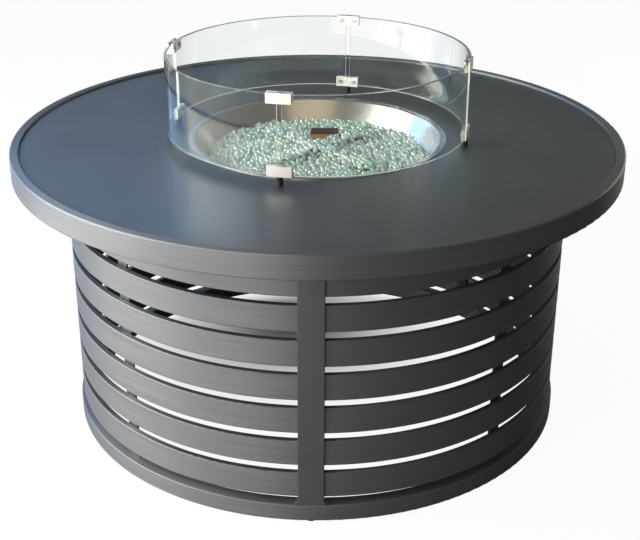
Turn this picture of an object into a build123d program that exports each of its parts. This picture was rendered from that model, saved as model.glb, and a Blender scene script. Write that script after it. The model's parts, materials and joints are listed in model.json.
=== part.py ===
"""Round gas fire table: slatted base with a door, table top, burner and glass wind guard."""

import math
import os

from build123d import *

os.makedirs("parts", exist_ok=True)

# Base rings, rolled from rectangular tube, and the glides under them
base_diameter = 1104.0
ring_depth = 30.0
ring_height = 36.5
top_ring_height = 30.0
ring_corner = 2.0
tube_wall = 2.5
weep_diameter = 6.0
weep_count = 4
glide_height = 3.0
glide_diameter = 24.0
glide_count = 6

# Slats, curved hollow extrusions between the stiles
slat_count = 7
slat_height = 56.0
slat_gap = 17.35
slat_thickness = 12.5
slat_wall = 2.0
slat_corner = 1.5
slat_inset = 5.5

# Stiles, flush with the rings, with a small gusset at the foot
stile_width = 52.0
stile_depth = 18.0
stile_corner = 1.5
gusset_size = 7.0
brace_width = 30.0
brace_thickness = 4.0
brace_gap = 0.8
seat_gap = 0.3

# Door in the back right quarter
door_gap = 4.0
door_end_gap = 5.0
door_bar_width = 24.0
hinge_height = 60.0
hinge_leaf_thickness = 2.5
hinge_leaf_width = 18.0
hinge_barrel_diameter = 10.0
hinge_barrel_gap = 0.8
hinge_pin_diameter = 5.0
hinge_pin_head_diameter = 7.0
hinge_pin_head_height = 2.0
hinge_axis_offset = 4.5
hinge_end_play = 0.4
hinge_edge_distance = 60.0
hinge_screw_pitch = 36.0
catch_height = 24.0
catch_level = 400.0
catch_block_depth = 8.0
catch_arm_thickness = 3.0
catch_half_width = 18.0
strike_thickness = 1.5
strike_width = 20.0
catch_air_gap = 0.4

# Small screws, used on the hinges and the valve
screw_diameter = 3.6
screw_head_diameter = 7.0
screw_head_height = 2.0
screw_length = 10.0
screw_clearance = 0.2
screw_cross_length = 4.0
screw_cross_width = 1.0
screw_cross_depth = 1.2

# Table top
table_diameter = 1320.0
rim_height = 50.0
rim_width = 20.0
rim_corner = 3.0
panel_thickness = 3.0
panel_drop = 5.0
panel_edge_gap = 1.0
cutout_clearance = 5.0
hoop_inset = 12.0
hoop_thickness = 5.0
spoke_count = 8
spoke_width = 30.0
spoke_height = 24.0
spoke_wall = 2.0
bolt_diameter = 8.0
bolt_hole_diameter = 9.0
bolt_head_flats = 13.0
bolt_head_height = 5.3
bolt_reach = 8.0

# Burner bowl, spun from sheet
bowl_throat_diameter = 534.0
bowl_flange_width = 14.0
bowl_bottom_diameter = 425.0
bowl_depth = 75.0
bowl_sheet = 1.5
bowl_bend_radius = 5.0

# Cross burner and what feeds it
arm_reach = 150.0
arm_diameter = 18.0
arm_wall = 1.5
arm_axis_height = 33.0
arm_azimuth = 45.0
port_diameter = 2.5
port_pitch = 14.0
port_count = 8
port_start = 36.0
hub_diameter = 44.0
hub_height = 26.0
inlet_diameter = 21.0
inlet_bore = 14.0
inlet_clearance = 0.4
locknut_flats = 30.0
locknut_height = 8.0
elbow_diameter = 26.0
elbow_reach = 24.0
elbow_drop = 25.0
mixer_length = 46.0
mixer_diameter = 24.0
mixer_bore = 9.0
air_hole_diameter = 10.0
tube_diameter = 9.5
tube_bore = 7.5
tube_bend_radius = 60.0
flare_nut_flats = 19.0
flare_nut_length = 14.0
fit_clearance = 0.1

# Beads in the bowl
bead_depth = 36.0
bead_crown = 6.0
bead_wall_gap = 1.0
bead_gap = 0.5

# Pilot parts beside the burner
hood_x = 15.0
hood_y = 82.0
hood_width = 62.0
hood_depth = 40.0
hood_sheet = 1.5
hood_show = 18.0
bracket_width = 50.0
bracket_depth = 26.0
bracket_sheet = 2.0
bracket_height = 16.0
pilot_spacing = 24.0
electrode_diameter = 6.0
electrode_height = 26.0
electrode_tip_diameter = 2.0
electrode_tip_height = 8.0
probe_diameter = 5.0
probe_height = 32.0
pilot_rise = 4.0
lead_hole_diameter = 8.0
lead_diameter = 3.0
lead_bend_radius = 15.0
igniter_lead_sag = 30.0
probe_lead_sag = 12.0

# Control panel in the back left quarter
control_azimuth = 135.0
control_width = 150.0
control_rows = 2
control_depth = 70.0
control_sheet = 2.0
control_face_inset = 4.0
valve_x = 32.0
valve_width = 40.0
valve_height = 36.0
valve_depth = 56.0
valve_corner = 3.0
valve_flange_height = 68.0
valve_flange_width = 20.0
valve_flange_thickness = 3.0
valve_screw_spacing = 54.0
valve_recess_diameter = 18.0
valve_recess_depth = 14.0
gas_inlet_setback = 40.0
gas_inlet_diameter = 15.88
gas_inlet_bore = 7.0
gas_inlet_length = 22.0
gas_inlet_hex_flats = 19.0
gas_inlet_hex_height = 8.0
stem_diameter = 8.0
stem_play = 0.08
stem_hole_diameter = 12.0
stem_depth = 36.0
collar_diameter = 14.0
collar_thickness = 3.0
collar_setback = 4.0
knob_stroke = 4.0
knob_lift = 5.5
knob_skirt_diameter = 44.0
knob_skirt_height = 4.0
knob_diameter = 34.0
knob_height = 22.0
knob_flute_diameter = 7.0
knob_flute_count = 10
knob_top = 4.0
igniter_x = -38.0
igniter_diameter = 22.0
igniter_depth = 60.0
igniter_bezel_diameter = 28.0
igniter_bezel_height = 3.0
igniter_nut_flats = 30.0
igniter_nut_height = 6.0
button_diameter = 16.8
button_play = 0.1
button_length = 15.0
button_show = 6.0
button_stroke = 5.0

# Wind guard
glass_outer_diameter = 652.0
glass_thickness = 6.0
glass_height = 165.5
glass_arris = 1.0
glass_gap = 10.0
guard_azimuth = -102.0
clip_width = 52.0
clip_height = 22.5
clip_plate = 4.0
clip_corner = 1.0
clip_glass_gap = 0.3
clip_tongue_gap = 0.5
clip_lip = 3.0
clip_sole = 2.0
clip_screw_spacing = 32.0
clip_screw_diameter = 5.0
clip_screw_head_diameter = 9.0
clip_screw_head_height = 2.5
clip_screw_bite = 3.0
clip_socket_flats = 4.0
clip_socket_depth = 1.6
glass_hole_diameter = 8.0
foot_height = 19.5
foot_diameter = 13.5

# Levels and radii that follow
base_radius = base_diameter / 2
ring_mid_radius = base_radius - ring_depth / 2
ring_top = glide_height + ring_height
slat_pitch = slat_height + slat_gap
slat_bottoms = [ring_top + slat_gap + row * slat_pitch for row in range(slat_count)]
slat_outer = base_radius - slat_inset
slat_inner = slat_outer - slat_thickness
top_ring_bottom = slat_bottoms[-1] + slat_height + slat_gap
base_top = top_ring_bottom + top_ring_height
panel_bottom = base_top + spoke_height
panel_top = panel_bottom + panel_thickness
rim_top = panel_top + panel_drop
stile_inner = base_radius - stile_depth
stile_height = top_ring_bottom - ring_top
table_radius = table_diameter / 2
rim_inner = table_radius - rim_width
throat_radius = bowl_throat_diameter / 2
flange_top = panel_top + bowl_sheet
bowl_floor = flange_top - bowl_depth
bowl_underside = bowl_floor - bowl_sheet
cutout_radius = throat_radius + cutout_clearance
hoop_inner = cutout_radius + hoop_inset
hoop_outer = hoop_inner + hoop_thickness

# Directions shared by the spokes, the control panel and the gas parts
spoke_start = 180 / spoke_count
control_bottom = slat_bottoms[slat_count - control_rows] - slat_gap / 2
control_top = top_ring_bottom - slat_gap / 2
control_height = control_top - control_bottom
control_middle = (control_bottom + control_top) / 2


def radial_plane(azimuth, radius, height):
    """Plane that faces outward at an azimuth, its x to the right seen from outside and its y up."""
    turn = math.radians(azimuth)
    outward = Vector(math.cos(turn), math.sin(turn), 0)
    sideways = Vector(-math.sin(turn), math.cos(turn), 0)
    return Plane(origin=outward * radius + Vector(0, 0, height), x_dir=sideways, z_dir=outward)


def upright_plane(azimuth):
    """Upright plane through the middle axis, its x outward at an azimuth and its y up."""
    turn = math.radians(azimuth)
    outward = Vector(math.cos(turn), math.sin(turn), 0)
    sideways = Vector(math.sin(turn), -math.cos(turn), 0)
    return Plane(origin=(0, 0, 0), x_dir=outward, z_dir=sideways)


def arc_strip(azimuth, height, inner, outer, low, high):
    """Plan outline between two radii and between two lines parallel to the radius at an azimuth."""
    with BuildSketch(Plane.XY.offset(height).rotated((0, 0, azimuth)), mode=Mode.PRIVATE) as strip:
        Circle(outer)
        Circle(inner, mode=Mode.SUBTRACT)
        with Locations((outer / 2, (low + high) / 2)):
            Rectangle(outer, high - low, mode=Mode.INTERSECT)
    return strip.sketch


def side_azimuth(azimuth, radius, sideways):
    """Azimuth of a point on a circle, a distance beside the radius at another azimuth."""
    return azimuth + math.degrees(math.asin(sideways / radius))


def axis_distance(face):
    """Distance of a face's middle from the middle axis, to the nearest tenth of a millimetre."""
    return round(math.hypot(face.center().X, face.center().Y), 1)


def write(piece, label):
    """Names a finished piece and writes its file."""
    piece.part.label = label
    export_step(piece.part, f"parts/{label}.step")


# Hinges: where the axis stands, and the screws through both leaves
stile_half = stile_width / 2
door_edge = stile_half + door_gap
hinge_x = base_radius + hinge_axis_offset
hinge_y = stile_half + door_gap / 2
hinge_levels = [
    ring_top + door_end_gap + hinge_edge_distance,
    top_ring_bottom - door_end_gap - hinge_edge_distance - hinge_height,
]
barrel_radius = hinge_barrel_diameter / 2
leaf_start = barrel_radius + hinge_barrel_gap
leaf_inner = base_radius + fit_clearance
leaf_outer = leaf_inner + hinge_leaf_thickness
leaf_middle = leaf_start + hinge_leaf_width / 2
frame_leaf_azimuth = side_azimuth(0, base_radius, hinge_y - leaf_middle)
door_leaf_azimuth = side_azimuth(0, base_radius, hinge_y + leaf_middle)
hinge_screw_levels = [
    level + hinge_height / 2 + side * hinge_screw_pitch / 2 for level in hinge_levels for side in (-1, 1)
]
hinge_hole_radius = screw_diameter / 2 + screw_clearance

# Floor glides under the bottom ring
with BuildPart() as floor_glides:
    with PolarLocations(ring_mid_radius, glide_count, start_angle=180 / glide_count):
        Cylinder(glide_diameter / 2, glide_height, align=(Align.CENTER, Align.CENTER, Align.MIN))
write(floor_glides, "floor_glides")

# Bottom ring with weep holes in its underside
with BuildPart() as bottom_ring:
    with BuildSketch(Plane.XZ):
        with Locations((ring_mid_radius, glide_height + ring_height / 2)):
            RectangleRounded(ring_depth, ring_height, ring_corner)
            Rectangle(ring_depth - 2 * tube_wall, ring_height - 2 * tube_wall, mode=Mode.SUBTRACT)
    revolve(axis=Axis.Z)
    with BuildSketch(Plane.XY.offset(glide_height)):
        with PolarLocations(ring_mid_radius, weep_count, start_angle=180 / weep_count):
            Circle(weep_diameter / 2)
    extrude(amount=2 * tube_wall, mode=Mode.SUBTRACT)
write(bottom_ring, "bottom_ring")

# Top ring, drilled for the bolts into the spokes
with BuildPart() as top_ring:
    with BuildSketch(Plane.XZ):
        with Locations((ring_mid_radius, top_ring_bottom + top_ring_height / 2)):
            RectangleRounded(ring_depth, top_ring_height, ring_corner)
            Rectangle(ring_depth - 2 * tube_wall, top_ring_height - 2 * tube_wall, mode=Mode.SUBTRACT)
    revolve(axis=Axis.Z)
    with BuildSketch(Plane.XY.offset(top_ring_bottom)):
        with PolarLocations(ring_mid_radius, spoke_count, start_angle=spoke_start):
            Circle(bolt_hole_diameter / 2)
    extrude(amount=top_ring_height, mode=Mode.SUBTRACT)
write(top_ring, "top_ring")

# Stiles: hollow bars flush with the rings, each with a gusset on either side of its foot
stile_azimuths = {"front_stile": -90, "right_stile": 0, "back_stile": 90, "left_stile": 180}
for stile_label, azimuth in stile_azimuths.items():
    with BuildPart() as stile:
        with BuildSketch(radial_plane(azimuth, stile_inner - stile_depth, ring_top)):
            with BuildLine():
                Polyline(
                    (-stile_half - gusset_size, 0),
                    (stile_half + gusset_size, 0),
                    (stile_half, gusset_size),
                    (stile_half, stile_height),
                    (-stile_half, stile_height),
                    (-stile_half, gusset_size),
                    close=True,
                )
            make_face()
        extrude(amount=3 * stile_depth)
        with BuildSketch(Plane.XY.offset(ring_top)):
            Circle(base_radius)
            Circle(stile_inner, mode=Mode.SUBTRACT)
        extrude(amount=stile_height, mode=Mode.INTERSECT)
        stile_face = stile.faces().filter_by(GeomType.CYLINDER).sort_by(axis_distance)[-1]
        fillet(stile_face.edges().filter_by(Axis.Z), radius=stile_corner)
        with BuildSketch(Plane.XY.offset(ring_top).rotated((0, 0, azimuth))):
            with Locations((base_radius - stile_depth / 2, 0)):
                Rectangle(stile_depth - 2 * tube_wall, stile_width - 2 * tube_wall)
        extrude(amount=stile_height, mode=Mode.SUBTRACT)
        if azimuth == 0:
            for level in hinge_screw_levels:
                with BuildSketch(radial_plane(frame_leaf_azimuth, leaf_outer, level)):
                    Circle(hinge_hole_radius)
                extrude(amount=-stile_depth / 2, mode=Mode.SUBTRACT)
    write(stile, stile_label)

# Slats of the four quarters: the back left one leaves a window for the control panel
slat_quarters = {
    "slats_front_left": (-1, -1, stile_half),
    "slats_front_right": (1, -1, stile_half),
    "slats_back_left": (-1, 1, stile_half),
    "door_slats": (1, 1, door_edge + door_bar_width),
}
for slat_label, (x_side, y_side, slat_start) in slat_quarters.items():
    with BuildPart() as slats:
        with BuildSketch(Plane.XZ):
            with Locations(*[(slat_outer - slat_thickness / 2, z + slat_height / 2) for z in slat_bottoms]):
                RectangleRounded(slat_thickness, slat_height, slat_corner)
                Rectangle(slat_thickness - 2 * slat_wall, slat_height - 2 * slat_wall, mode=Mode.SUBTRACT)
        revolve(axis=Axis.Z)
        with BuildSketch(Plane.XY):
            with Locations((x_side * (slat_start + base_radius / 2), y_side * (slat_start + base_radius / 2))):
                Rectangle(base_radius, base_radius)
        extrude(amount=top_ring_bottom, mode=Mode.INTERSECT)
        if slat_label == "slats_back_left":
            with BuildSketch(radial_plane(control_azimuth, base_radius / 2, control_middle)):
                Rectangle(control_width, control_height)
            extrude(amount=base_radius, mode=Mode.SUBTRACT)
    write(slats, slat_label)

# Braces behind the fixed slats, the back left one stopping under the control panel
brace_outer = slat_inner - brace_gap
brace_inner = brace_outer - brace_thickness
brace_tops = {-135: top_ring_bottom, -45: top_ring_bottom, control_azimuth: control_bottom - slat_gap / 2}
with BuildPart() as panel_braces:
    for azimuth, brace_top in brace_tops.items():
        strip = arc_strip(azimuth, ring_top, brace_inner, brace_outer, -brace_width / 2, brace_width / 2)
        extrude(strip, amount=brace_top - ring_top)
write(panel_braces, "panel_braces")

# Door bars, one beside the right stile and one beside the back stile
door_bottom = ring_top + door_end_gap
door_height = top_ring_bottom - door_end_gap - door_bottom
bar_far = door_edge + door_bar_width
bar_bore_out = math.sqrt(base_radius**2 - bar_far**2) - tube_wall
bar_bore_in = math.sqrt(stile_inner**2 - door_edge**2) + tube_wall
with BuildPart() as door_hinge_bar:
    extrude(arc_strip(0, door_bottom, stile_inner, base_radius, door_edge, bar_far), amount=door_height)
    with BuildSketch(Plane.XY.offset(door_bottom)):
        with Locations(((bar_bore_in + bar_bore_out) / 2, (door_edge + bar_far) / 2)):
            Rectangle(bar_bore_out - bar_bore_in, door_bar_width - 2 * tube_wall)
    extrude(amount=door_height, mode=Mode.SUBTRACT)
    for level in hinge_screw_levels:
        with BuildSketch(radial_plane(door_leaf_azimuth, leaf_outer, level)):
            Circle(hinge_hole_radius)
        extrude(amount=-stile_depth / 2, mode=Mode.SUBTRACT)
write(door_hinge_bar, "door_hinge_bar")

with BuildPart() as door_latch_bar:
    extrude(arc_strip(90, door_bottom, stile_inner, base_radius, -bar_far, -door_edge), amount=door_height)
    with BuildSketch(Plane.XY.offset(door_bottom)):
        with Locations(((door_edge + bar_far) / 2, (bar_bore_in + bar_bore_out) / 2)):
            Rectangle(door_bar_width - 2 * tube_wall, bar_bore_out - bar_bore_in)
    extrude(amount=door_height, mode=Mode.SUBTRACT)
write(door_latch_bar, "door_latch_bar")

# Brace behind the door slats
with BuildPart() as door_brace:
    strip = arc_strip(45, slat_bottoms[0], brace_inner, brace_outer, -brace_width / 2, brace_width / 2)
    extrude(strip, amount=slat_bottoms[-1] + slat_height - slat_bottoms[0])
write(door_brace, "door_brace")

# Hinge leaves on the outer faces: three knuckles, the middle one on the door
knuckle = hinge_height / 3
pin_bore_radius = hinge_pin_diameter / 2 + fit_clearance / 2
with BuildPart() as hinge_frame_leaves:
    for level in hinge_levels:
        strip = arc_strip(
            0, level, leaf_inner, leaf_outer, hinge_y - leaf_start - hinge_leaf_width, hinge_y - leaf_start
        )
        extrude(strip, amount=hinge_height)
        for bottom in (level, level + 2 * knuckle + hinge_end_play / 2):
            strip = arc_strip(0, bottom, leaf_inner, leaf_outer, hinge_y - leaf_start, hinge_y)
            extrude(strip, amount=knuckle - hinge_end_play / 2)
            with BuildSketch(Plane.XY.offset(bottom)):
                with Locations((hinge_x, hinge_y)):
                    Circle(barrel_radius)
            extrude(amount=knuckle - hinge_end_play / 2)
        with BuildSketch(Plane.XY.offset(level)):
            with Locations((hinge_x, hinge_y)):
                Circle(pin_bore_radius)
        extrude(amount=hinge_height, mode=Mode.SUBTRACT)
    for level in hinge_screw_levels:
        with BuildSketch(radial_plane(frame_leaf_azimuth, leaf_outer + screw_head_height, level)):
            Circle(hinge_hole_radius)
        extrude(amount=-screw_length, mode=Mode.SUBTRACT)
write(hinge_frame_leaves, "hinge_frame_leaves")

with BuildPart() as hinge_door_leaves:
    for level in hinge_levels:
        strip = arc_strip(
            0, level, leaf_inner, leaf_outer, hinge_y + leaf_start, hinge_y + leaf_start + hinge_leaf_width
        )
        extrude(strip, amount=hinge_height)
        bottom = level + knuckle + hinge_end_play / 2
        strip = arc_strip(0, bottom, leaf_inner, leaf_outer, hinge_y, hinge_y + leaf_start)
        extrude(strip, amount=knuckle - hinge_end_play)
        with BuildSketch(Plane.XY.offset(bottom)):
            with Locations((hinge_x, hinge_y)):
                Circle(barrel_radius)
        extrude(amount=knuckle - hinge_end_play)
        with BuildSketch(Plane.XY.offset(level)):
            with Locations((hinge_x, hinge_y)):
                Circle(pin_bore_radius)
        extrude(amount=hinge_height, mode=Mode.SUBTRACT)
    for level in hinge_screw_levels:
        with BuildSketch(radial_plane(door_leaf_azimuth, leaf_outer + screw_head_height, level)):
            Circle(hinge_hole_radius)
        extrude(amount=-screw_length, mode=Mode.SUBTRACT)
write(hinge_door_leaves, "hinge_door_leaves")

# Hinge pins, each hanging by its head in the upper frame knuckle
with BuildPart() as hinge_pins:
    for level in hinge_levels:
        with BuildSketch(Plane.XY.offset(level)):
            with Locations((hinge_x, hinge_y)):
                Circle(hinge_pin_diameter / 2)
        extrude(amount=hinge_height)
        with BuildSketch(Plane.XY.offset(level + hinge_height)):
            with Locations((hinge_x, hinge_y)):
                Circle(hinge_pin_head_diameter / 2)
        extrude(amount=hinge_pin_head_height)
write(hinge_pins, "hinge_pins")

# Screws through the hinge leaves
hinge_screw_azimuths = {"hinge_frame_screws": frame_leaf_azimuth, "hinge_door_screws": door_leaf_azimuth}
for screw_label, azimuth in hinge_screw_azimuths.items():
    with BuildPart() as hinge_screws:
        for level in hinge_screw_levels:
            with BuildSketch(radial_plane(azimuth, leaf_outer + fit_clearance, level)):
                Circle(screw_head_diameter / 2)
            extrude(amount=screw_head_height)
            with BuildSketch(radial_plane(azimuth, leaf_outer + fit_clearance, level)):
                Circle(screw_diameter / 2)
            extrude(amount=-screw_length)
            with BuildSketch(radial_plane(azimuth, leaf_outer + fit_clearance + screw_head_height, level)):
                Rectangle(screw_cross_length, screw_cross_width)
                Rectangle(screw_cross_width, screw_cross_length)
            extrude(amount=-screw_cross_depth, mode=Mode.SUBTRACT)
    write(hinge_screws, screw_label)

# Magnetic catch: bracket behind the back stile, magnet on its arm, strike on the latch bar
catch_outer = stile_inner - seat_gap
catch_face = catch_outer - catch_block_depth
strike_inner = catch_outer - strike_thickness
strike_middle = -(door_edge + door_bar_width / 2)
strike_low = strike_middle - strike_width / 2
strike_high = strike_middle + strike_width / 2
with BuildPart() as catch_bracket:
    strip = arc_strip(90, catch_level, catch_face, catch_outer, -catch_half_width, catch_half_width)
    extrude(strip, amount=catch_height)
    strip = arc_strip(90, catch_level, catch_face - catch_arm_thickness, catch_face, strike_low, catch_half_width)
    extrude(strip, amount=catch_height)
write(catch_bracket, "catch_bracket")

with BuildPart() as catch_magnet:
    strip = arc_strip(
        90, catch_level, catch_face + fit_clearance, strike_inner - catch_air_gap, strike_low, strike_high
    )
    extrude(strip, amount=catch_height)
write(catch_magnet, "catch_magnet")

with BuildPart() as catch_strike:
    extrude(arc_strip(90, catch_level, strike_inner, catch_outer, strike_low, strike_high), amount=catch_height)
write(catch_strike, "catch_strike")

# Rim of the table, rolled from tube
with BuildPart() as rim_tube:
    with BuildSketch(Plane.XZ):
        with Locations((table_radius - rim_width / 2, rim_top - rim_height / 2)):
            RectangleRounded(rim_width, rim_height, rim_corner)
            Rectangle(rim_width - 2 * tube_wall, rim_height - 2 * tube_wall, mode=Mode.SUBTRACT)
    revolve(axis=Axis.Z)
    with BuildSketch(Plane.XY.offset(rim_top - rim_height)):
        with PolarLocations(table_radius - rim_width / 2, weep_count, start_angle=180 / weep_count):
            Circle(weep_diameter / 2)
    extrude(amount=2 * tube_wall, mode=Mode.SUBTRACT)
write(rim_tube, "rim_tube")

# Top panel, set below the rim, with the burner cut-out
with BuildPart() as top_panel:
    with BuildSketch(Plane.XY.offset(panel_bottom)):
        Circle(rim_inner - panel_edge_gap)
        Circle(cutout_radius, mode=Mode.SUBTRACT)
    extrude(amount=panel_thickness)
write(top_panel, "top_panel")

# Hoop round the cut-out
with BuildPart() as burner_hoop:
    with BuildSketch(Plane.XY.offset(base_top)):
        Circle(hoop_outer)
        Circle(hoop_inner, mode=Mode.SUBTRACT)
    extrude(amount=spoke_height)
write(burner_hoop, "burner_hoop")

# Spokes from the hoop to the rim, each drilled for a bolt
spoke_azimuths = [spoke_start + step * 360 / spoke_count for step in range(spoke_count)]
spoke_reach = math.sqrt(rim_inner**2 - (spoke_width / 2) ** 2)
with BuildPart() as top_spokes:
    for azimuth in spoke_azimuths:
        strip = arc_strip(azimuth, base_top, hoop_outer, rim_inner, -spoke_width / 2, spoke_width / 2)
        extrude(strip, amount=spoke_height)
        with BuildSketch(radial_plane(azimuth, hoop_inner, base_top + spoke_height / 2)):
            Rectangle(spoke_width - 2 * spoke_wall, spoke_height - 2 * spoke_wall)
        extrude(amount=rim_inner - hoop_inner, mode=Mode.SUBTRACT)
    with BuildSketch(Plane.XY.offset(base_top)):
        with PolarLocations(ring_mid_radius, spoke_count, start_angle=spoke_start):
            Circle(bolt_hole_diameter / 2)
    extrude(amount=2 * spoke_wall, mode=Mode.SUBTRACT)
write(top_spokes, "top_spokes")

# Bolts up through the top ring into the spokes
with BuildPart() as frame_bolts:
    with BuildSketch(Plane.XY.offset(top_ring_bottom - bolt_head_height)):
        with PolarLocations(ring_mid_radius, spoke_count, start_angle=spoke_start):
            RegularPolygon(bolt_head_flats / 2, 6, major_radius=False)
    extrude(amount=bolt_head_height)
    with BuildSketch(Plane.XY.offset(top_ring_bottom)):
        with PolarLocations(ring_mid_radius, spoke_count, start_angle=spoke_start):
            Circle(bolt_diameter / 2)
    extrude(amount=top_ring_height + bolt_reach)
write(frame_bolts, "frame_bolts")

# Burner bowl: flange on the panel, sloping wall, flat floor with holes for the inlet and the pilot leads
inlet_hole_radius = inlet_diameter / 2 + inlet_clearance
flange_radius = throat_radius + bowl_flange_width
electrode_x = hood_x + pilot_spacing / 2
probe_x = hood_x - pilot_spacing / 2
with BuildPart() as burner_bowl:
    with BuildSketch(Plane.XZ):
        with BuildLine():
            FilletPolyline(
                (0, bowl_floor),
                (bowl_bottom_diameter / 2, bowl_floor),
                (throat_radius, flange_top),
                (flange_radius, flange_top),
                radius=bowl_bend_radius,
            )
            offset(amount=bowl_sheet, side=Side.RIGHT)
        make_face()
    revolve(axis=Axis.Z)
    with BuildSketch(Plane.XY.offset(bowl_underside)):
        Circle(inlet_hole_radius)
        with Locations((electrode_x, hood_y), (probe_x, hood_y)):
            Circle(lead_hole_diameter / 2)
    extrude(amount=2 * bowl_sheet, mode=Mode.SUBTRACT)
write(burner_bowl, "burner_bowl")

# Cross burner: four tubes on a hub, hollow, with gas ports along the top
arm_axis = bowl_floor + arm_axis_height
hub_bottom = arm_axis - hub_height / 2
arm_azimuths = [arm_azimuth + 90 * step for step in range(4)]
with BuildPart() as burner_cross:
    with BuildSketch(Plane.XY.offset(hub_bottom)):
        Circle(hub_diameter / 2)
    extrude(amount=hub_height)
    for azimuth in arm_azimuths:
        with BuildSketch(radial_plane(azimuth, 0, arm_axis)):
            Circle(arm_diameter / 2)
        extrude(amount=arm_reach)
    for azimuth in arm_azimuths:
        with BuildSketch(radial_plane(azimuth, 0, arm_axis)):
            Circle(arm_diameter / 2 - arm_wall)
        extrude(amount=arm_reach - arm_wall, mode=Mode.SUBTRACT)
        with BuildSketch(Plane.XY.offset(arm_axis).rotated((0, 0, azimuth))):
            with Locations(*[(port_start + step * port_pitch, 0) for step in range(port_count)]):
                Circle(port_diameter / 2)
        extrude(amount=arm_diameter, mode=Mode.SUBTRACT)
    with BuildSketch(Plane.XY.offset(hub_bottom)):
        Circle(inlet_bore / 2)
    extrude(amount=hub_height / 2, mode=Mode.SUBTRACT)
write(burner_cross, "burner_cross")

# Inlet elbow: a pipe down through the bowl that turns towards the control panel
elbow_axis = bowl_underside - elbow_drop
with BuildPart() as inlet_elbow:
    with BuildSketch(Plane.XY.offset(elbow_axis)):
        Circle(inlet_diameter / 2)
    extrude(amount=hub_bottom - elbow_axis)
    with Locations((0, 0, elbow_axis)):
        Sphere(elbow_diameter / 2)
    with BuildSketch(radial_plane(control_azimuth, 0, elbow_axis)):
        Circle(elbow_diameter / 2)
    extrude(amount=elbow_reach)
    with BuildSketch(Plane.XY.offset(elbow_axis)):
        Circle(inlet_bore / 2)
    extrude(amount=hub_bottom - elbow_axis, mode=Mode.SUBTRACT)
    with BuildSketch(radial_plane(control_azimuth, 0, elbow_axis)):
        Circle(inlet_bore / 2)
    extrude(amount=elbow_reach, mode=Mode.SUBTRACT)
write(inlet_elbow, "inlet_elbow")

# Lock nuts above and below the bowl floor
with BuildPart() as inlet_locknuts:
    for level in (bowl_floor, bowl_underside - locknut_height):
        with BuildSketch(Plane.XY.offset(level)):
            RegularPolygon(locknut_flats / 2, 6, major_radius=False)
            Circle(inlet_diameter / 2 + fit_clearance, mode=Mode.SUBTRACT)
        extrude(amount=locknut_height)
write(inlet_locknuts, "inlet_locknuts")

# Air mixer on the elbow, with an air hole from each side
with BuildPart() as air_mixer:
    with BuildSketch(radial_plane(control_azimuth, elbow_reach, elbow_axis)):
        Circle(mixer_diameter / 2)
        Circle(mixer_bore / 2, mode=Mode.SUBTRACT)
    extrude(amount=mixer_length)
    with BuildSketch(radial_plane(control_azimuth + 90, 0, elbow_axis)):
        with Locations((-elbow_reach - mixer_length / 2, 0)):
            Circle(air_hole_diameter / 2)
    extrude(amount=mixer_diameter, both=True, mode=Mode.SUBTRACT)
write(air_mixer, "air_mixer")

# Pilot hood standing on the bowl floor, open below
bead_level = flange_top - bead_depth
hood_top = bead_level + hood_show
with BuildPart() as pilot_hood:
    with BuildSketch(Plane.XY.offset(bowl_floor)):
        with Locations((hood_x, hood_y)):
            Rectangle(hood_width, hood_depth)
    extrude(amount=hood_top - bowl_floor)
    fillet(pilot_hood.edges().filter_by(Axis.Z), radius=hood_sheet)
    fillet(pilot_hood.faces().sort_by(Axis.Z)[-1].edges(), radius=hood_sheet)
    with BuildSketch(Plane.XY.offset(bowl_floor)):
        with Locations((hood_x, hood_y)):
            Rectangle(hood_width - 2 * hood_sheet, hood_depth - 2 * hood_sheet)
    extrude(amount=hood_top - bowl_floor - hood_sheet, mode=Mode.SUBTRACT)
write(pilot_hood, "pilot_hood")

# Pilot bracket under the hood: a channel on the bowl floor with a shelf that holds the two probes
shelf_bottom = bowl_floor + bracket_height - bracket_sheet
with BuildPart() as pilot_bracket:
    with BuildSketch(Plane.XY.offset(bowl_floor)):
        with Locations((hood_x, hood_y)):
            Rectangle(bracket_width, bracket_depth)
    extrude(amount=bracket_height)
    with BuildSketch(Plane.XY.offset(bowl_floor + bracket_sheet)):
        with Locations((hood_x, hood_y - bracket_sheet)):
            Rectangle(bracket_width, bracket_depth)
    extrude(amount=bracket_height - 2 * bracket_sheet, mode=Mode.SUBTRACT)
    with BuildSketch(Plane.XY.offset(bowl_floor)):
        with Locations((electrode_x, hood_y), (probe_x, hood_y)):
            Circle(lead_hole_diameter / 2)
    extrude(amount=bracket_sheet, mode=Mode.SUBTRACT)
    with BuildSketch(Plane.XY.offset(shelf_bottom)):
        with Locations((electrode_x, hood_y)):
            Circle(electrode_diameter / 2 + fit_clearance)
        with Locations((probe_x, hood_y)):
            Circle(probe_diameter / 2 + fit_clearance)
    extrude(amount=bracket_sheet, mode=Mode.SUBTRACT)
write(pilot_bracket, "pilot_bracket")

# Spark electrode: a ceramic rod with a wire tip
pilot_bottom = bowl_floor + pilot_rise
with BuildPart() as spark_electrode:
    with BuildSketch(Plane.XY.offset(pilot_bottom)):
        with Locations((electrode_x, hood_y)):
            Circle(electrode_diameter / 2)
    extrude(amount=electrode_height)
    with BuildSketch(Plane.XY.offset(pilot_bottom + electrode_height)):
        with Locations((electrode_x, hood_y)):
            Circle(electrode_tip_diameter / 2)
    extrude(amount=electrode_tip_height)
write(spark_electrode, "spark_electrode")

# Thermocouple probe with a rounded tip
with BuildPart() as thermocouple:
    with BuildSketch(Plane.XY.offset(pilot_bottom)):
        with Locations((probe_x, hood_y)):
            Circle(probe_diameter / 2)
    extrude(amount=probe_height)
    fillet(thermocouple.faces().sort_by(Axis.Z)[-1].edges(), radius=probe_diameter / 5)
write(thermocouple, "thermocouple")

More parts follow.
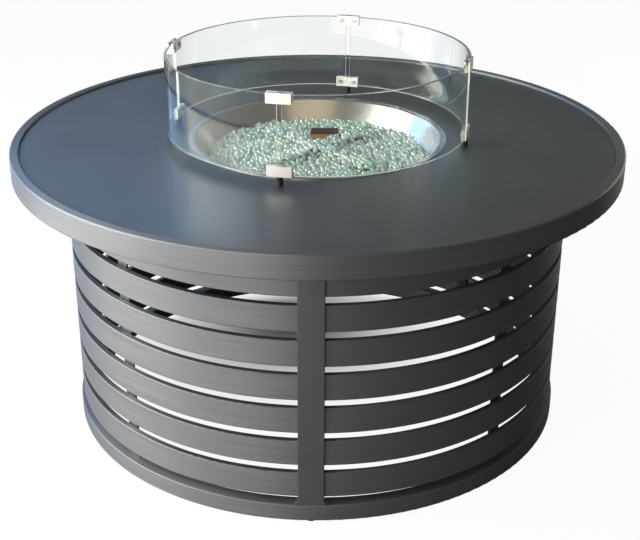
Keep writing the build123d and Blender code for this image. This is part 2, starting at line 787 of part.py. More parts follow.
# Bed of beads: one mound, with room for the burner, the hood and the nut on the bowl floor
wall_run = (throat_radius - bowl_bottom_diameter / 2) / bowl_depth
bead_edge = bowl_bottom_diameter / 2 + wall_run * (bead_level - bowl_floor) - bead_wall_gap
bead_foot = bowl_bottom_diameter / 2 - bowl_bend_radius
with BuildPart() as fire_glass:
    with BuildSketch(Plane.XZ):
        with BuildLine():
            Polyline(
                (0, bowl_floor),
                (bead_foot, bowl_floor),
                (bead_edge, bead_level),
                (0, bead_level + bead_crown),
                close=True,
            )
        make_face()
    revolve(axis=Axis.Z)
    with BuildSketch(Plane.XY.offset(hub_bottom - bead_gap)):
        Circle(hub_diameter / 2 + bead_gap)
    extrude(amount=bowl_depth, mode=Mode.SUBTRACT)
    with BuildSketch(Plane.XY.offset(arm_axis - arm_diameter / 2 - bead_gap)):
        for azimuth in arm_azimuths[:2]:
            Rectangle(2 * (arm_reach + bead_gap), arm_diameter + 2 * bead_gap, rotation=azimuth)
    extrude(amount=bowl_depth, mode=Mode.SUBTRACT)
    with BuildSketch(Plane.XY.offset(bowl_floor)):
        Circle(locknut_flats / math.sqrt(3) + bead_gap)
        with Locations((hood_x, hood_y)):
            Rectangle(hood_width + 2 * bead_gap, hood_depth + 2 * bead_gap)
    extrude(amount=bowl_depth, mode=Mode.SUBTRACT)
write(fire_glass, "fire_glass")

# Control panel: a plate with a return on either side, set into the window in the slats
panel_face = base_radius - control_face_inset
control_plane = radial_plane(control_azimuth, panel_face, control_middle)
control_axis = Axis(control_plane.origin, control_plane.z_dir)
with BuildPart() as control_panel:
    with BuildSketch(control_plane):
        Rectangle(control_width, control_height)
    extrude(amount=-control_depth)
    with BuildSketch(control_plane.offset(-control_sheet)):
        Rectangle(control_width - 2 * control_sheet, control_height)
    extrude(amount=-control_depth, mode=Mode.SUBTRACT)
    with BuildSketch(control_plane):
        with Locations((valve_x, 0)):
            Circle(stem_hole_diameter / 2)
        with Locations((igniter_x, 0)):
            Circle(igniter_diameter / 2 + fit_clearance)
        with Locations((valve_x, valve_screw_spacing / 2), (valve_x, -valve_screw_spacing / 2)):
            Circle(screw_diameter / 2 + screw_clearance)
    extrude(amount=-control_sheet, mode=Mode.SUBTRACT)
write(control_panel, "control_panel")

# Gas valve behind the plate: body, fixing flange, stem bore and the recess for the stem collar
valve_plane = control_plane.offset(-control_sheet)
stem_end = control_sheet + stem_depth
with BuildPart() as gas_valve:
    with BuildSketch(valve_plane):
        with Locations((valve_x, 0)):
            RectangleRounded(valve_width, valve_height, valve_corner)
    extrude(amount=-valve_depth)
    with BuildSketch(valve_plane):
        with Locations((valve_x, 0)):
            RectangleRounded(valve_flange_width, valve_flange_height, valve_corner)
    extrude(amount=-valve_flange_thickness)
    with BuildSketch(valve_plane):
        with Locations((valve_x, 0)):
            Circle(valve_recess_diameter / 2)
    extrude(amount=-valve_recess_depth, mode=Mode.SUBTRACT)
    with BuildSketch(valve_plane):
        with Locations((valve_x, 0)):
            Circle(stem_diameter / 2 + stem_play)
    extrude(amount=-(stem_depth + knob_stroke + 1), mode=Mode.SUBTRACT)
    with BuildSketch(valve_plane):
        with Locations((valve_x, valve_screw_spacing / 2), (valve_x, -valve_screw_spacing / 2)):
            Circle(screw_diameter / 2 + screw_clearance)
    extrude(amount=-valve_flange_thickness, mode=Mode.SUBTRACT)
write(gas_valve, "gas_valve")

# Screws that hold the valve to the plate
with BuildPart() as valve_screws:
    with BuildSketch(control_plane):
        with Locations((valve_x, valve_screw_spacing / 2), (valve_x, -valve_screw_spacing / 2)):
            Circle(screw_head_diameter / 2)
    extrude(amount=screw_head_height)
    with BuildSketch(control_plane):
        with Locations((valve_x, valve_screw_spacing / 2), (valve_x, -valve_screw_spacing / 2)):
            Circle(screw_diameter / 2)
    extrude(amount=-screw_length)
    with BuildSketch(control_plane.offset(screw_head_height)):
        with Locations((valve_x, valve_screw_spacing / 2), (valve_x, -valve_screw_spacing / 2)):
            Rectangle(screw_cross_length, screw_cross_width)
            Rectangle(screw_cross_width, screw_cross_length)
    extrude(amount=-screw_cross_depth, mode=Mode.SUBTRACT)
write(valve_screws, "valve_screws")

# Gas inlet under the valve, with a hexagon and a flare thread that points down
inlet_point = (valve_plane.offset(-gas_inlet_setback)).from_local_coords((valve_x, -valve_height / 2))
with BuildPart() as gas_inlet:
    with BuildSketch(Plane.XY.offset(inlet_point.Z)):
        with Locations((inlet_point.X, inlet_point.Y)):
            RegularPolygon(gas_inlet_hex_flats / 2, 6, major_radius=False)
    extrude(amount=-gas_inlet_hex_height)
    with BuildSketch(Plane.XY.offset(inlet_point.Z - gas_inlet_hex_height)):
        with Locations((inlet_point.X, inlet_point.Y)):
            Circle(gas_inlet_diameter / 2)
    extrude(amount=-gas_inlet_length)
    with BuildSketch(Plane.XY.offset(inlet_point.Z)):
        with Locations((inlet_point.X, inlet_point.Y)):
            Circle(gas_inlet_bore / 2)
    extrude(amount=-(gas_inlet_hex_height + gas_inlet_length), mode=Mode.SUBTRACT)
write(gas_inlet, "gas_inlet")

# Stem collar, pressed inward with the stem
with BuildPart() as stem_collar:
    with BuildSketch(valve_plane.offset(-collar_setback)):
        with Locations((valve_x, 0)):
            Circle(collar_diameter / 2)
            Circle(stem_diameter / 2 + fit_clearance, mode=Mode.SUBTRACT)
    extrude(amount=-collar_thickness)
write(stem_collar, "stem_collar")

# Valve stem from inside the valve to inside the knob
stem_top = knob_lift + knob_height - knob_top
with BuildPart() as valve_stem:
    with BuildSketch(control_plane.offset(-stem_end)):
        with Locations((valve_x, 0)):
            Circle(stem_diameter / 2)
    extrude(amount=stem_end + stem_top)
write(valve_stem, "valve_stem")

# Knob: a skirt, a fluted grip, a pointer groove on the face and a socket for the stem
with BuildPart() as control_knob:
    with BuildSketch(control_plane.offset(knob_lift)):
        with Locations((valve_x, 0)):
            Circle(knob_skirt_diameter / 2)
    extrude(amount=knob_skirt_height)
    with BuildSketch(control_plane.offset(knob_lift)):
        with Locations((valve_x, 0)):
            Circle(knob_diameter / 2)
    extrude(amount=knob_height)
    knob_rim = control_knob.edges().filter_by(GeomType.CIRCLE).sort_by(control_axis)[-1]
    fillet(knob_rim, radius=2)
    with BuildSketch(control_plane.offset(knob_lift + knob_skirt_height)):
        with Locations((valve_x, 0)):
            with PolarLocations(knob_diameter / 2 + knob_flute_diameter / 5, knob_flute_count):
                Circle(knob_flute_diameter / 2)
    extrude(amount=knob_height, mode=Mode.SUBTRACT)
    with BuildSketch(control_plane.offset(knob_lift + knob_height - 1)):
        with Locations((valve_x, knob_diameter / 4)):
            Rectangle(2, knob_diameter / 3)
    extrude(amount=2, mode=Mode.SUBTRACT)
    with BuildSketch(control_plane.offset(knob_lift)):
        with Locations((valve_x, 0)):
            Circle(stem_diameter / 2 + fit_clearance)
    extrude(amount=knob_height - knob_top, mode=Mode.SUBTRACT)
write(control_knob, "control_knob")

# Igniter body: bezel outside, barrel inside, and a pocket for the button
button_pocket = button_length - button_show + button_stroke + 1
with BuildPart() as igniter_body:
    with BuildSketch(control_plane):
        with Locations((igniter_x, 0)):
            Circle(igniter_bezel_diameter / 2)
    extrude(amount=igniter_bezel_height)
    with BuildSketch(control_plane):
        with Locations((igniter_x, 0)):
            Circle(igniter_diameter / 2)
    extrude(amount=-igniter_depth)
    with BuildSketch(control_plane.offset(igniter_bezel_height)):
        with Locations((igniter_x, 0)):
            Circle(button_diameter / 2 + button_play)
    extrude(amount=-button_pocket, mode=Mode.SUBTRACT)
write(igniter_body, "igniter_body")

# Nut that clamps the igniter to the plate
with BuildPart() as igniter_nut:
    with BuildSketch(control_plane.offset(-control_sheet)):
        with Locations((igniter_x, 0)):
            RegularPolygon(igniter_nut_flats / 2, 6, major_radius=False)
            Circle(igniter_diameter / 2 + fit_clearance, mode=Mode.SUBTRACT)
    extrude(amount=-igniter_nut_height)
write(igniter_nut, "igniter_nut")

# Push button
with BuildPart() as igniter_button:
    with BuildSketch(control_plane.offset(igniter_bezel_height + button_show - button_length)):
        with Locations((igniter_x, 0)):
            Circle(button_diameter / 2)
    extrude(amount=button_length)
    button_edges = igniter_button.edges().filter_by(GeomType.CIRCLE)
    fillet(button_edges.sort_by(control_axis)[-1], radius=1)
write(igniter_button, "igniter_button")

# Feed tube from the air mixer to the back of the valve
valve_back = control_sheet + valve_depth
mixer_end = elbow_reach + mixer_length
tube_start = radial_plane(control_azimuth, mixer_end, elbow_axis)
tube_turn = radial_plane(control_azimuth, mixer_end + 1.5 * tube_bend_radius, elbow_axis)
with BuildPart() as feed_tube:
    with BuildLine() as tube_path:
        FilletPolyline(
            tube_start.origin,
            tube_turn.origin,
            control_plane.offset(-valve_back - 1.5 * tube_bend_radius).from_local_coords((valve_x, 0)),
            control_plane.offset(-valve_back).from_local_coords((valve_x, 0)),
            radius=tube_bend_radius,
        )
    with BuildSketch(tube_start):
        Circle(tube_diameter / 2)
        Circle(tube_bore / 2, mode=Mode.SUBTRACT)
    sweep(path=tube_path.line)
write(feed_tube, "feed_tube")

# Nuts at both ends of the feed tube
with BuildPart() as flare_nuts:
    with BuildSketch(tube_start):
        RegularPolygon(flare_nut_flats / 2, 6, major_radius=False)
        Circle(tube_diameter / 2 + fit_clearance, mode=Mode.SUBTRACT)
    extrude(amount=flare_nut_length)
    with BuildSketch(control_plane.offset(-valve_back)):
        with Locations((valve_x, 0)):
            RegularPolygon(flare_nut_flats / 2, 6, major_radius=False)
            Circle(tube_diameter / 2 + fit_clearance, mode=Mode.SUBTRACT)
    extrude(amount=-flare_nut_length)
write(flare_nuts, "flare_nuts")

# Leads from the pilot parts to the igniter and the valve, each hanging a little between its ends
lead_level = bowl_underside - lead_bend_radius - lead_diameter
lead_run = flare_nut_length + 2 * lead_bend_radius
probe_end_x = valve_x - valve_width / 3
probe_end_y = valve_height / 3
lead_routes = {
    "igniter_lead": (electrode_x, igniter_depth, igniter_x, 0, igniter_lead_sag),
    "thermocouple_lead": (probe_x, valve_back, probe_end_x, probe_end_y, probe_lead_sag),
}
for lead_label, (start_x, end_depth, end_x, end_y, sag) in lead_routes.items():
    lead_turn = Vector(start_x, hood_y, lead_level)
    lead_end = control_plane.offset(-end_depth - lead_run).from_local_coords((end_x, end_y))
    with BuildPart() as lead:
        with BuildLine() as lead_path:
            FilletPolyline(
                (start_x, hood_y, pilot_bottom),
                lead_turn,
                (lead_turn + lead_end) * 0.5 - Vector(0, 0, sag),
                lead_end,
                control_plane.offset(-end_depth).from_local_coords((end_x, end_y)),
                radius=lead_bend_radius,
            )
        with BuildSketch(Plane.XY.offset(pilot_bottom)):
            with Locations((start_x, hood_y)):
                Circle(lead_diameter / 2)
        sweep(path=lead_path.line)
    write(lead, lead_label)

# Wind guard: four bent glass panels, drilled near their corners for the clip screws
glass_outer = glass_outer_diameter / 2
glass_inner = glass_outer - glass_thickness
glass_mid = (glass_outer + glass_inner) / 2
sole_level = panel_top + foot_height
glass_bottom = sole_level + clip_sole
glass_top = glass_bottom + glass_height
clip_levels = [sole_level, glass_top + clip_lip - clip_height]
clip_azimuths = [guard_azimuth + 90 * step for step in range(4)]
clip_screw_azimuths = [
    side_azimuth(azimuth, glass_mid, side * clip_screw_spacing / 2)
    for azimuth in clip_azimuths
    for side in (-1, 1)
]
clip_screw_levels = [level + clip_height / 2 for level in clip_levels]
gap_angle = math.degrees(glass_gap / glass_mid)
glass_labels = ["glass_front_right", "glass_back_right", "glass_back_left", "glass_front_left"]
for glass_label, azimuth in zip(glass_labels, clip_azimuths):
    with BuildPart() as glass_panel:
        with BuildSketch(upright_plane(azimuth + gap_angle / 2)):
            with Locations((glass_mid, glass_bottom + glass_height / 2)):
                RectangleRounded(glass_thickness, glass_height, glass_arris)
        revolve(axis=Axis.Z, revolution_arc=90 - gap_angle)
        for hole_azimuth in clip_screw_azimuths:
            for level in clip_screw_levels:
                with BuildSketch(radial_plane(hole_azimuth, glass_inner - glass_thickness, level)):
                    Circle(glass_hole_diameter / 2)
                extrude(amount=3 * glass_thickness, mode=Mode.SUBTRACT)
    write(glass_panel, glass_label)

# Outer clip plates: plain outside, with a tongue between the two panels and blind screw holes
plate_inner = glass_outer + clip_glass_gap
plate_outer = plate_inner + clip_plate
inner_plate_outer = glass_inner - clip_glass_gap
inner_plate_inner = inner_plate_outer - clip_plate
tongue_half = glass_gap / 2 - clip_tongue_gap
clip_half = clip_width / 2
with BuildPart() as clip_outer_plates:
    for azimuth in clip_azimuths:
        for level in clip_levels:
            extrude(
                arc_strip(azimuth, level, plate_inner, plate_outer, -clip_half, clip_half), amount=clip_height
            )
    plate_faces = clip_outer_plates.faces().filter_by(GeomType.CYLINDER).group_by(axis_distance)[-1]
    fillet(plate_faces.edges(), radius=clip_corner)
    for azimuth in clip_azimuths:
        for level in clip_levels:
            strip = arc_strip(
                azimuth, level, inner_plate_outer + fit_clearance, plate_inner, -tongue_half, tongue_half
            )
            extrude(strip, amount=clip_height)
    for azimuth in clip_screw_azimuths:
        for level in clip_screw_levels:
            with BuildSketch(radial_plane(azimuth, glass_mid, level)):
                Circle(clip_screw_diameter / 2 + fit_clearance)
            extrude(amount=plate_inner + clip_screw_bite - glass_mid, mode=Mode.SUBTRACT)
write(clip_outer_plates, "clip_outer_plates")

# Inner clip plates with their screw holes
with BuildPart() as clip_inner_plates:
    for azimuth in clip_azimuths:
        for level in clip_levels:
            extrude(
                arc_strip(azimuth, level, inner_plate_inner, inner_plate_outer, -clip_half, clip_half),
                amount=clip_height,
            )
    for azimuth in clip_screw_azimuths:
        for level in clip_screw_levels:
            with BuildSketch(radial_plane(azimuth, inner_plate_inner - clip_plate, level)):
                Circle(clip_screw_diameter / 2 + fit_clearance)
            extrude(amount=3 * clip_plate, mode=Mode.SUBTRACT)
write(clip_inner_plates, "clip_inner_plates")

# Clip screws, their heads inside the guard
with BuildPart() as clip_screws:
    for azimuth in clip_screw_azimuths:
        for level in clip_screw_levels:
            with BuildSketch(radial_plane(azimuth, inner_plate_inner - fit_clearance, level)):
                Circle(clip_screw_head_diameter / 2)
            extrude(amount=-clip_screw_head_height)
            with BuildSketch(radial_plane(azimuth, inner_plate_inner - fit_clearance, level)):
                Circle(clip_screw_diameter / 2)
            extrude(amount=plate_inner + clip_screw_bite - inner_plate_inner)
            head_end = inner_plate_inner - fit_clearance - clip_screw_head_height
            with BuildSketch(radial_plane(azimuth, head_end, level)):
                RegularPolygon(clip_socket_flats / 2, 6, major_radius=False)
            extrude(amount=clip_socket_depth, mode=Mode.SUBTRACT)
write(clip_screws, "clip_screws")

# Rubber feet under the bottom clips
with BuildPart() as guard_feet:
    with BuildSketch(Plane.XY.offset(panel_top)):
        with PolarLocations(glass_mid, len(clip_azimuths), start_angle=guard_azimuth):
            Circle(foot_diameter / 2)
    extrude(amount=foot_height)
write(guard_feet, "guard_feet")
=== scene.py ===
import json
import math
import random

import bmesh
import bpy
from mathutils import Euler, Matrix, Vector


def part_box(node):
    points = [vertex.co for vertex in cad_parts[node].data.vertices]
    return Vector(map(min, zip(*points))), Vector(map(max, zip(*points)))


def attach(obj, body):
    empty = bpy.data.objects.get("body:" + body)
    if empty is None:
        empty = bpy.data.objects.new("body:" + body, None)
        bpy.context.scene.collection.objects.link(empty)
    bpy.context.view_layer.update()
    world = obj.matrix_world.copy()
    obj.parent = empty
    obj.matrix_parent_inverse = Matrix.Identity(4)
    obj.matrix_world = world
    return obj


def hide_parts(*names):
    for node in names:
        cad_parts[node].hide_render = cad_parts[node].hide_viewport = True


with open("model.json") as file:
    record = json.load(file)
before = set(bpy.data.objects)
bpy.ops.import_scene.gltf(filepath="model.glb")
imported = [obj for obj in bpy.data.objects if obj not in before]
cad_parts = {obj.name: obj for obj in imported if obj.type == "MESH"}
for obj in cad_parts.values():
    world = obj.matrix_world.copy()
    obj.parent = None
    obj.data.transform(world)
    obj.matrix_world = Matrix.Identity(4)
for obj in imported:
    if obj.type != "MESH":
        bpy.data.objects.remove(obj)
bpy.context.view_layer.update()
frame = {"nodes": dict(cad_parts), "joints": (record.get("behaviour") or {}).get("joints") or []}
scene = bpy.context.scene
scene.view_settings.view_transform = "Standard"

# Camera: it stands in front of the table and looks down on the top. Its place, pitch and lens were fitted
# to the rim, the rings and the front stile in the picture, with focal length and centre in its pixels.
picture_width = 640
picture_height = 540
focal_pixels = 1241.6
centre_pixel = Vector((308.4, 270.0))
sensor_width = 36.0
camera_place = Vector((-0.0192, -2.5965, 1.4957))
camera_pitch = math.radians(24.71)
camera_turn = math.radians(1.46)
lens = bpy.data.cameras.new("camera")
lens.sensor_width = sensor_width
lens.lens = focal_pixels * sensor_width / picture_width
lens.shift_x = (picture_width / 2 - centre_pixel.x) / picture_width
lens.shift_y = (centre_pixel.y - picture_height / 2) / picture_width
camera = bpy.data.objects.new("camera", lens)
camera.location = Matrix.Rotation(camera_turn, 3, "Z") @ camera_place
camera.rotation_euler = (math.pi / 2 - camera_pitch, 0, camera_turn)
scene.collection.objects.link(camera)
scene.camera = camera


# Studio floor: pale matt paper that runs out of sight. To the camera, also through glass, it is close to
# white, with a trace of the real shadow and a wide soft painted shade, a darker grey, under the back of the
# table inside the base. Other light finds it grey, and from below it can be seen through.
def linear(code):
    """Linear colour with alpha from an sRGB hex code."""
    parts = [int(code[start : start + 2], 16) / 255 for start in (1, 3, 5)]
    return [part / 12.92 if part <= 0.04045 else ((part + 0.055) / 1.055) ** 2.4 for part in parts] + [1.0]


def add_node(tree, kind, inputs, **settings):
    """Adds a node with its settings, and gives its inputs values or links from other nodes."""
    node = tree.nodes.new(kind)
    for name, value in settings.items():
        setattr(node, name, value)
    for name, value in inputs.items():
        if isinstance(value, bpy.types.NodeSocket):
            tree.links.new(value, node.inputs[name])
        else:
            node.inputs[name].default_value = value
    return node


def new_finish(name):
    """Empty material and its node tree."""
    finish = bpy.data.materials.new(name)
    finish.use_nodes = True
    finish.node_tree.nodes.clear()
    return finish, finish.node_tree


def straight_look(tree):
    """One where the camera looks straight on or through glass alone, nought for all other light."""
    path = add_node(tree, "ShaderNodeLightPath", {})
    depths = {0: path.outputs["Glossy Depth"], 1: path.outputs["Diffuse Depth"]}
    bounces = add_node(tree, "ShaderNodeMath", depths, operation="ADD")
    half_bounce = 0.5
    count = {0: bounces.outputs[0], 1: half_bounce}
    unbent = add_node(tree, "ShaderNodeMath", count, operation="LESS_THAN")
    glass = {0: path.outputs["Is Transmission Ray"], 1: unbent.outputs[0]}
    through = add_node(tree, "ShaderNodeMath", glass, operation="MULTIPLY")
    look = {0: path.outputs["Is Camera Ray"], 1: through.outputs[0]}
    return add_node(tree, "ShaderNodeMath", look, operation="MAXIMUM").outputs[0]


floor_half = 30.0
floor_white_share = 0.95
# Painted shade on the floor: darkest at this middle, fading out over this radius, and kept inside the base.
painted_shade_middle = (-0.08, 0.3, 0.0)
painted_shade_radius = 0.5
painted_shade_lightness = 0.03
base_radius = 0.55
base_edge = 0.13
paper, tree = new_finish("matt_paper")
seen = straight_look(tree)
place = add_node(tree, "ShaderNodeTexCoord", {})
away = add_node(
    tree, "ShaderNodeVectorMath", {0: place.outputs["Object"], 1: painted_shade_middle}, operation="DISTANCE"
)
past_painted_shade = add_node(
    tree,
    "ShaderNodeMapRange",
    {"Value": away.outputs["Value"], "From Min": 0.0, "From Max": painted_shade_radius, "To Min": painted_shade_lightness},
    interpolation_type="SMOOTHSTEP",
)
middle = add_node(tree, "ShaderNodeVectorMath", {0: place.outputs["Object"]}, operation="LENGTH")
outside = add_node(
    tree,
    "ShaderNodeMapRange",
    {"Value": middle.outputs["Value"], "From Min": base_radius - base_edge, "From Max": base_radius},
    interpolation_type="SMOOTHSTEP",
)
free_of_painted_shade = add_node(
    tree, "ShaderNodeMath", {0: past_painted_shade.outputs["Result"], 1: outside.outputs["Result"]}, operation="MAXIMUM"
)
pale = add_node(tree, "ShaderNodeMath", {0: seen, 1: free_of_painted_shade.outputs[0]}, operation="MULTIPLY")
share = add_node(tree, "ShaderNodeMath", {0: pale.outputs[0], 1: floor_white_share}, operation="MULTIPLY")
# The grey is the floor's tone for other light, and also the colour of the painted shade where the camera
# sees it.
tone = add_node(
    tree,
    "ShaderNodeMix",
    {"Factor": pale.outputs[0], "A": linear("#7d7b78"), "B": linear("#f4f3f0")},
    data_type="RGBA",
)
lit = add_node(tree, "ShaderNodeBsdfDiffuse", {"Color": tone.outputs["Result"]})
white = add_node(tree, "ShaderNodeEmission", {"Color": linear("#ffffff"), "Strength": 1.0})
front = add_node(tree, "ShaderNodeMixShader", {0: share.outputs[0], 1: lit.outputs[0], 2: white.outputs[0]})
side = add_node(tree, "ShaderNodeNewGeometry", {})
clear = add_node(tree, "ShaderNodeBsdfTransparent", {})
both = add_node(
    tree, "ShaderNodeMixShader", {0: side.outputs["Backfacing"], 1: front.outputs[0], 2: clear.outputs[0]}
)
add_node(tree, "ShaderNodeOutputMaterial", {"Surface": both.outputs[0]})
shape = bmesh.new()
bmesh.ops.create_grid(shape, x_segments=1, y_segments=1, size=floor_half)
floor_mesh = bpy.data.meshes.new("floor")
shape.to_mesh(floor_mesh)
shape.free()
floor_mesh.materials.append(paper)
floor = bpy.data.objects.new("floor", floor_mesh)
scene.collection.objects.link(floor)

# Studio light: a dim even room, white only to the camera, also through glass, and six soft lamps. Warm
# ones stand at the left and the front, cool ones at the back and at its left side, a low warm fill at the
# back right, and a weak warm one overhead.
room_light = 0.15
room = bpy.data.worlds.new("white_room")
scene.world = room
room.use_nodes = True
tree = room.node_tree
tree.nodes.clear()
strength = add_node(tree, "ShaderNodeMath", {0: straight_look(tree), 1: room_light}, operation="MAXIMUM")
sky = add_node(tree, "ShaderNodeBackground", {"Color": linear("#ffffff"), "Strength": strength.outputs[0]})
add_node(tree, "ShaderNodeOutputWorld", {"Surface": sky.outputs[0]})


def soft_lamp(name, place, target, width, height, glow, colour):
    """Large rectangular lamp turned to a target, as bright as a white sheet times glow."""
    lamp = bpy.data.lights.new(name, "AREA")
    lamp.shape = "RECTANGLE"
    lamp.size = width
    lamp.size_y = height
    lamp.energy = glow * math.pi * width * height
    lamp.color = linear(colour)[:3]
    holder = bpy.data.objects.new(name, lamp)
    holder.location = place
    holder.rotation_euler = (Vector(target) - Vector(place)).to_track_quat("-Z", "Y").to_euler()
    holder.visible_camera = False
    scene.collection.objects.link(holder)


soft_lamp(
    "left_lamp",
    place=(-2.75, -0.55, 1.45),
    target=(0, -0.1, 0.6),
    width=3.0,
    height=2.9,
    glow=8.5,
    colour="#fffaf3",
)
soft_lamp(
    "back_lamp",
    place=(-1.6, 3.0, 2.75),
    target=(-0.1, 0, 0.6),
    width=2.4,
    height=1.5,
    glow=1.3,
    colour="#8cc4ff",
)
soft_lamp(
    "front_lamp",
    place=(-1.75, -3.0, 0.95),
    target=(0, -0.1, 0.35),
    width=2.6,
    height=1.9,
    glow=5.0,
    colour="#fffaf4",
)
soft_lamp(
    "side_lamp",
    place=(-2.2, 1.5, 1.2),
    target=(0, 0.1, 0.5),
    width=1.8,
    height=2.2,
    glow=2.5,
    colour="#a8d0ff",
)
soft_lamp(
    "fill_lamp",
    place=(2.3, 2.5, 0.65),
    target=(0, 0, 0.4),
    width=1.9,
    height=1.1,
    glow=2.2,
    colour="#fff0dc",
)
soft_lamp(
    "top_lamp",
    place=(0.2, -1.1, 2.9),
    target=(0, 0.1, 0.6),
    width=1.6,
    height=1.2,
    glow=0.85,
    colour="#ffe6c0",
)


# Base frame: rings rolled from rectangular tube, four stiles and seven rows of curved slats, all aluminium,
# welded together with flat braces behind the slats, then powder coated in charcoal.
def dress(finish, *names):
    """Gives CAD nodes a finish."""
    for name in names:
        mesh = frame["nodes"][name].data
        mesh.materials.clear()
        mesh.materials.append(finish)


# Polyester powder with metal flake, baked on aluminium: satin charcoal that mirrors much as a dull metal
# does, a little cloudy, with a faint orange peel. Real peel is about 1.5 mm across, too fine to show, and
# is drawn at 4 mm. Noise gathers between the low and the high value.
coat_cloud = 0.11
coat_peel = 0.004
coat_flake = 0.75
noise_low = 0.3
noise_high = 0.7
powder_coat, tree = new_finish("charcoal_powder_coat")
place = add_node(tree, "ShaderNodeTexCoord", {})
cloud = add_node(
    tree,
    "ShaderNodeTexNoise",
    {"Vector": place.outputs["Object"], "Scale": 1 / coat_cloud, "Detail": 3.0, "Roughness": 0.55},
)
tone = add_node(
    tree,
    "ShaderNodeMix",
    {"Factor": cloud.outputs["Fac"], "A": linear("#63676a"), "B": linear("#6f7376")},
    data_type="RGBA",
)
peel = add_node(
    tree, "ShaderNodeTexNoise", {"Vector": place.outputs["Object"], "Scale": 1 / coat_peel, "Detail": 2.0}
)
dimple = add_node(
    tree, "ShaderNodeBump", {"Height": peel.outputs["Fac"], "Strength": 0.06, "Distance": coat_peel / 10}
)
gloss = add_node(
    tree,
    "ShaderNodeMapRange",
    {
        "Value": cloud.outputs["Fac"],
        "From Min": noise_low,
        "From Max": noise_high,
        "To Min": 0.32,
        "To Max": 0.38,
    },
)
shader = add_node(
    tree,
    "ShaderNodeBsdfPrincipled",
    {
        "Base Color": tone.outputs["Result"],
        "Metallic": coat_flake,
        "Roughness": gloss.outputs["Result"],
        "Normal": dimple.outputs["Normal"],
        "IOR": 1.5,
    },
)
add_node(tree, "ShaderNodeOutputMaterial", {"Surface": shader.outputs["BSDF"]})
dress(powder_coat, "top_ring", "front_stile", "right_stile", "back_stile", "left_stile", "panel_braces")

# The same coat over rolled strip: the lines of the rolling still show through as faint level streaks, which
# spread a reflection up and down. They are about 1 mm apart and drawn here at 3 mm. The corners are shaded
# as rounded, so that they catch the light.
streak_pitch = 0.003
streak_length = 0.25
edge_round = 0.002
strip_coat, tree = new_finish("charcoal_coat_on_rolled_strip")
place = add_node(tree, "ShaderNodeTexCoord", {})
stretched = add_node(
    tree,
    "ShaderNodeMapping",
    {"Vector": place.outputs["Object"], "Scale": (1 / streak_length, 1 / streak_length, 1 / streak_pitch)},
)
streak = add_node(
    tree, "ShaderNodeTexNoise", {"Vector": stretched.outputs["Vector"], "Scale": 1.0, "Detail": 2.0}
)
tone = add_node(
    tree,
    "ShaderNodeMix",
    {"Factor": streak.outputs["Fac"], "A": linear("#62666a"), "B": linear("#7a7e82")},
    data_type="RGBA",
)
gloss = add_node(
    tree,
    "ShaderNodeMapRange",
    {
        "Value": streak.outputs["Fac"],
        "From Min": noise_low,
        "From Max": noise_high,
        "To Min": 0.46,
        "To Max": 0.54,
    },
)
level = add_node(tree, "ShaderNodeTangent", {}, direction_type="RADIAL", axis="Z")
round_edge = add_node(tree, "ShaderNodeBevel", {"Radius": edge_round}, samples=4)
shader = add_node(
    tree,
    "ShaderNodeBsdfPrincipled",
    {
        "Base Color": tone.outputs["Result"],
        "Metallic": coat_flake,
        "Roughness": gloss.outputs["Result"],
        "IOR": 1.5,
        "Normal": round_edge.outputs["Normal"],
        "Anisotropic": 0.7,
        "Anisotropic Rotation": 0.25,
        "Tangent": level.outputs["Tangent"],
    },
)
add_node(tree, "ShaderNodeOutputMaterial", {"Surface": shader.outputs["BSDF"]})
dress(strip_coat, "bottom_ring", "slats_front_left", "slats_front_right", "slats_back_left")


# Floor glides: round polyethylene buttons pressed into the bottom ring.
# Moulded plastic, dull black with a slight speckle from scuffs.
def speckled(name, dark, light, metallic, smooth, rough, grain, relief=0.05):
    """Finish with two close tones and two roughnesses, spread by a noise whose grain is given in metres."""
    finish, tree = new_finish(name)
    place = add_node(tree, "ShaderNodeTexCoord", {})
    speck = add_node(
        tree, "ShaderNodeTexNoise", {"Vector": place.outputs["Object"], "Scale": 1 / grain, "Detail": 4.0}
    )
    tone = add_node(
        tree,
        "ShaderNodeMix",
        {"Factor": speck.outputs["Fac"], "A": linear(dark), "B": linear(light)},
        data_type="RGBA",
    )
    gloss = add_node(
        tree,
        "ShaderNodeMapRange",
        {
            "Value": speck.outputs["Fac"],
            "From Min": noise_low,
            "From Max": noise_high,
            "To Min": smooth,
            "To Max": rough,
        },
    )
    dimple = add_node(
        tree, "ShaderNodeBump", {"Height": speck.outputs["Fac"], "Strength": relief, "Distance": grain / 10}
    )
    shader = add_node(
        tree,
        "ShaderNodeBsdfPrincipled",
        {
            "Base Color": tone.outputs["Result"],
            "Metallic": metallic,
            "Roughness": gloss.outputs["Result"],
            "Normal": dimple.outputs["Normal"],
        },
    )
    add_node(tree, "ShaderNodeOutputMaterial", {"Surface": shader.outputs["BSDF"]})
    return finish


glide_plastic = speckled(
    "black_polyethylene", dark="#121212", light="#1f1f1f",
    metallic=0.0, smooth=0.5, rough=0.65, grain=0.003,
)
dress(glide_plastic, "floor_glides")

# Door: a welded leaf of two bars, slats and a brace, coated as the base, on two butt hinges.
# Hinge leaves are painted steel; pins, screws, catch and bolts are bright zinc, which mottles a little.
dress(strip_coat, "door_slats")
dress(powder_coat, "door_hinge_bar", "door_latch_bar", "door_brace")
dress(powder_coat, "hinge_frame_leaves", "hinge_door_leaves")
zinc_plate = speckled(
    "bright_zinc_plate", dark="#a9abad", light="#c9cac9",
    metallic=1.0, smooth=0.28, rough=0.42, grain=0.004,
)
dress(zinc_plate, "hinge_pins", "hinge_frame_screws", "hinge_door_screws", "catch_bracket", "catch_strike")
ferrite = speckled(
    "sintered_ferrite", dark="#26262a", light="#35353a",
    metallic=0.0, smooth=0.6, rough=0.75, grain=0.002, relief=0.2,
)
dress(ferrite, "catch_magnet")

